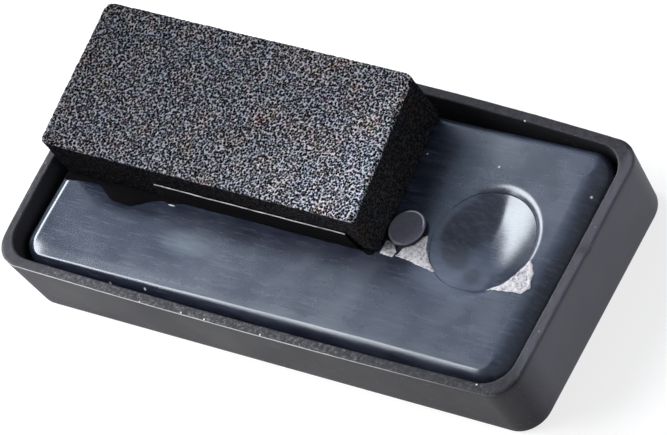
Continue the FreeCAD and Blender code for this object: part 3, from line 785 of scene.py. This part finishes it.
def sink_pits(mesh):
    """Pits and soft lumps in the foam's faces, deepest on top."""
    normals = [vertex.normal.copy() for vertex in mesh.vertices]
    for vertex, normal in zip(mesh.vertices, normals):
        spot = vertex.co / MM
        near, second = noise.voronoi(spot / FOAM_CELL)[0][:2]
        deep = 0.22 if spot.z > FOAM_HIGH[2] - 0.6 else 0.10
        pit = deep * max(0.0, 1 - 1.7 * near) + 0.10 * max(0.0, 0.25 - (second - near))
        lump = 0.06 * rough(spot, 3.0, 2)
        vertex.co -= normal * (pit + lump) * MM


def foam_block(material):
    """The wiping foam, with real pits and struts over every face that shows."""
    length, width = FOAM_HIGH[0] - FOAM_LOW[0], FOAM_HIGH[1] - FOAM_LOW[1] + 1
    nu, nv = int(length / FOAM_STEP), int(width / FOAM_STEP)
    edge = 0.35
    outline = [(i / nu, 0) for i in range(nu)] + [(1, j / nv) for j in range(nv)]
    outline += [(1 - i / nu, 1) for i in range(nu)] + [(0, 1 - j / nv) for j in range(nv)]
    top = FOAM_HIGH[2]
    levels = [(z, 0.0) for z in np.arange(FOAM_LOW[2], top - edge, FOAM_STEP)]
    levels += [(top - edge * (1 - math.sin(a)), edge * (1 - math.cos(a))) for a in (0.3, 0.8, math.pi / 2)]
    rings = [[(*foam_point(u, v, z, inset), z) for u, v in outline] for z, inset in levels]
    points, faces = bridge(rings)
    faces.append(tuple(reversed(range(len(outline)))))
    # The top face: a grid whose border is the last ring.
    first = len(points) - len(outline)
    index = {key: first + item for item, key in enumerate(
        [(i, 0) for i in range(nu)]
        + [(nu, j) for j in range(nv)]
        + [(nu - i, nv) for i in range(nu)]
        + [(0, nv - j) for j in range(nv)]
    )}
    for i in range(1, nu):
        for j in range(1, nv):
            index[i, j] = len(points)
            points.append((*foam_point(i / nu, j / nv, top, edge), top))
    for i in range(nu):
        for j in range(nv):
            faces.append((index[i, j], index[i + 1, j], index[i + 1, j + 1], index[i, j + 1]))
    piece = make("foam_wiping_block", points, faces, "foam_body", material, ["foam_block"])
    sink_pits(piece.data)
    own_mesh(piece)
    return piece


def carrier(material):
    """The black film under the foam: at the left a wavy flap with a tongue, then a lip up the foam's face.

    The flap and tongue reach out over the film where the foam's shadow falls: painted shade.
    """
    thick = 0.16
    face = FOAM_LOW[1] - 0.02
    under = FOAM_LOW[1] + 6
    lip_left, lip_right, lip_top = -29.2, 12.7, CARRIER_HIGH[2] - 0.02
    rings = []
    for x in np.linspace(CARRIER_LOW[0] - 2.4, CARRIER_HIGH[0] - 0.2, 270):
        # Painted shade: the flap and its tongue darken the film where the foam's shadow and reflection fall.
        tongue = smooth(-43.5, -38, x) * smooth(-29, -35.5, x)
        flap = float(0.55 + 0.6 * smooth(-46, -50.5, x) + 2.35 * tongue)
        left_part = float(smooth(-24, -28, x))
        bulge = 0.5 * bump(x, 14.8, 1.0)
        reach = 0.12 + flap * left_part + 0.10 * rough((x, 0, 0), 3.0) * left_part + bulge
        lifted = float(smooth(lip_left, lip_left + 0.8, x) * smooth(lip_right + 0.25, lip_right - 0.15, x))
        ripple = 0.07 * rough((x, 5, 0), 7.0)
        low = film_top(x, face - reach) + 0.02
        lip = lip_top + 0.05 * rough((x, 9, 0), 8.0)
        height = low + thick + (lip - low - thick) * lifted
        lean = (0.16 + ripple) * lifted
        rings.append(
            [
                (x, under, low),
                (x, face - reach, low),
                (x, face - reach, low + thick * 0.6),
                (x, face - reach + 0.06, low + thick),
                (x, face - thick - 0.02, low + thick),
                (x, face - thick, low + thick + 0.12 * lifted),
                (x, face - thick - lean, height - 0.03 * lifted),
                (x, face - thick * 0.5 - lean, height),
                (x, face - lean, height - 0.03 * lifted),
                (x, face, low + thick),
                (x, under, low + thick),
            ]
        )
    points, faces = closed(rings)
    faces = [tuple(reversed(corners)) for corners in faces]
    return make("foam_carrier_film", points, faces, "tray_body", material, ["foam_carrier"])


def glue_patch(name, node, corners, material):
    """A crinkled patch of dried glue with a ragged edge, lying on the film."""
    centre = np.mean(corners, axis=0)
    border = []
    for item, corner in enumerate(corners):
        after = corners[(item + 1) % len(corners)]
        for t in np.linspace(0, 1, 22, endpoint=False):
            x, y = np.array(corner) * (1 - t) + np.array(after) * t
            ragged = 1 + 0.06 * rough((x, y, 7), 0.8)
            border.append(centre + (np.array([x, y]) - centre) * ragged)
    rings = []
    # The first ring is the patch's underside, and the others climb its edge and cross its top.
    for share in (1.0, 1.0, 0.97, 0.9, 0.8, 0.68, 0.55, 0.42, 0.3, 0.18, 0.06):
        ring = []
        for x, y in centre + (np.array(border) - centre) * share:
            crinkle = 0.16 + 0.13 * rough((x, y, 2), 0.7, 4)
            lift = 0.02 if not rings else max(0.05, crinkle) * min(1.0, 0.4 + (1 - share) * 12)
            ring.append((x, y, film_top(x, y) + lift))
        rings.append(ring)
    points, faces = closed(rings)
    return make(name, points, faces, "tray_body", material, [node])


def glue(material):
    """The three patches between the dish and the line of the foam's cut, set out from the dish's centre."""
    x, y = DISH
    left = [(-13.9, -6.6), (-13.4, -5.2), (-11.5, -2.4), (-10.1, -1.7), (-9.0, -4.2)]
    left += [(-7.3, -6.2), (-5.2, -7.7)]
    right = [(5.6, -8.2), (7.6, -7.1), (9.3, -4.3), (10.7, -1.0), (12.2, -3.1), (13.2, -6.2), (12.4, -7.4)]
    spot = [(-17.2, -6.9), (-17.1, -4.2), (-15.4, -4.6), (-14.2, -5.9), (-14.5, -7.0)]
    left, right, spot = ([(x + dx, y + dy) for dx, dy in patch] for patch in (left, right, spot))
    glue_patch("glue_left_of_dish", "glue_patch_left", left, material)
    glue_patch("glue_right_of_dish", "glue_patch_right", right, material)
    glue_patch("glue_beside_foam", "glue_spot", spot, material)


# ---------------------------------------------------------------- camera, lights and floor


def camera():
    """A long lens from the front right, well above, rolled so that the tray lies aslant."""
    right, up = Vector((0.78750, 0.45694, -0.41357)), Vector((-0.20379, 0.82637, 0.52497))
    stand = (0.58479, -0.32934, 0.75399)
    settings = bpy.data.cameras.new("camera")
    settings.sensor_width = 36.0
    settings.lens = 323.84
    settings.clip_start = 0.05
    settings.clip_end = 10.0
    eye = bpy.data.objects.new("camera", settings)
    turn = Matrix((right, up, right.cross(up))).transposed().to_4x4()
    eye.matrix_world = Matrix.Translation(stand) @ turn
    bpy.context.scene.collection.objects.link(eye)
    bpy.context.scene.camera = eye


def softbox(name, direction, distance, size, radiance, colour=(1, 1, 1), up=(0, 0, 1)):
    """A rectangular light that faces the object, as bright as radiance times a white sheet in the light."""
    light = bpy.data.lights.new(name, "AREA")
    light.shape = "RECTANGLE"
    light.size, light.size_y = size
    light.energy = radiance * math.pi * size[0] * size[1]
    light.color = colour
    lamp = bpy.data.objects.new(name, light)
    away = Vector(direction).normalized()
    across = Vector(up).cross(away).normalized()
    turn = Matrix((across, away.cross(across), away)).transposed().to_4x4()
    lamp.matrix_world = Matrix.Translation(away * distance) @ turn
    bpy.context.scene.collection.objects.link(lamp)


def studio():
    """A pale floor that glows a little, a large soft key low on the left, and two dimmer softboxes.

    The key draws the bright lines on the film's shoulders and in the dish. The cool one, above the back left,
    is what the flat film reflects, and the other lifts the right wall.
    """
    reach = 3.0
    mesh = bpy.data.meshes.new("floor")
    corners = [(-reach, -reach, 0), (reach, -reach, 0), (reach, reach, 0), (-reach, reach, 0)]
    mesh.from_pydata(corners, [], [(0, 1, 2, 3)])
    floor = bpy.data.objects.new("floor", mesh)
    bpy.context.scene.collection.objects.link(floor)
    material, _, shader = new_material("floor_paper")
    shader.inputs["Base Color"].default_value = (0.35, 0.35, 0.35, 1)
    shader.inputs["Roughness"].default_value = 0.9
    shader.inputs["Emission Color"].default_value = (1.0, 1.0, 1.0, 1)
    shader.inputs["Emission Strength"].default_value = 0.72
    mesh.materials.append(material)
    softbox("key", (-0.92, -0.145, 0.367), 0.9, (1.17, 1.08), 7.8, up=(0.573, 0.610, 0.546))
    softbox("cool_fill", (-0.60, 0.48, 0.64), 1.5, (1.6, 1.6), 0.43, (0.52, 0.70, 1.0))
    softbox("right_fill", (0.93, 0.12, 0.34), 1.4, (1.2, 0.8), 2.2)
    world = bpy.data.worlds.new("studio")
    world.use_nodes = True
    background = world.node_tree.nodes["Background"]
    background.inputs["Color"].default_value = (0.95, 0.97, 1.0, 1)
    background.inputs["Strength"].default_value = 0.22
    bpy.context.scene.world = world
    bpy.context.scene.view_settings.view_transform = "Standard"


# ---------------------------------------------------------------- the build

camera()
studio()
skin = reservoir_skin("reservoir_skin", 0.16, 0.27)
plastic = port_plastic()
tray(tray_plastic())
film(skin)
dish(reservoir_skin("dish_skin", 0.23, 0.23))
plug(plastic)
foam_block(foam())
carrier(carrier_film())
glue(glue_residue())

# The CAD pieces that show as they are, and what each is made of.
KEPT = {
    "reservoir_pan": skin,
    "reservoir_fluid": plain_grain("fluid", (0.02, 0.024, 0.034), (0.03, 0.035, 0.05), 0.08, 6.0),
    "port_bush": plastic,
    "feed_wick": plain_grain("felt", (0.16, 0.16, 0.17), (0.30, 0.30, 0.31), 0.85, 0.25),
    "reservoir_adhesive": plain_grain("adhesive", (0.40, 0.40, 0.38), (0.55, 0.55, 0.52), 0.5, 1.5),
}
KEPT["foam_adhesive"] = KEPT["reservoir_adhesive"]
for node, material in KEPT.items():
    for material_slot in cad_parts[node].material_slots:
        material_slot.material = material
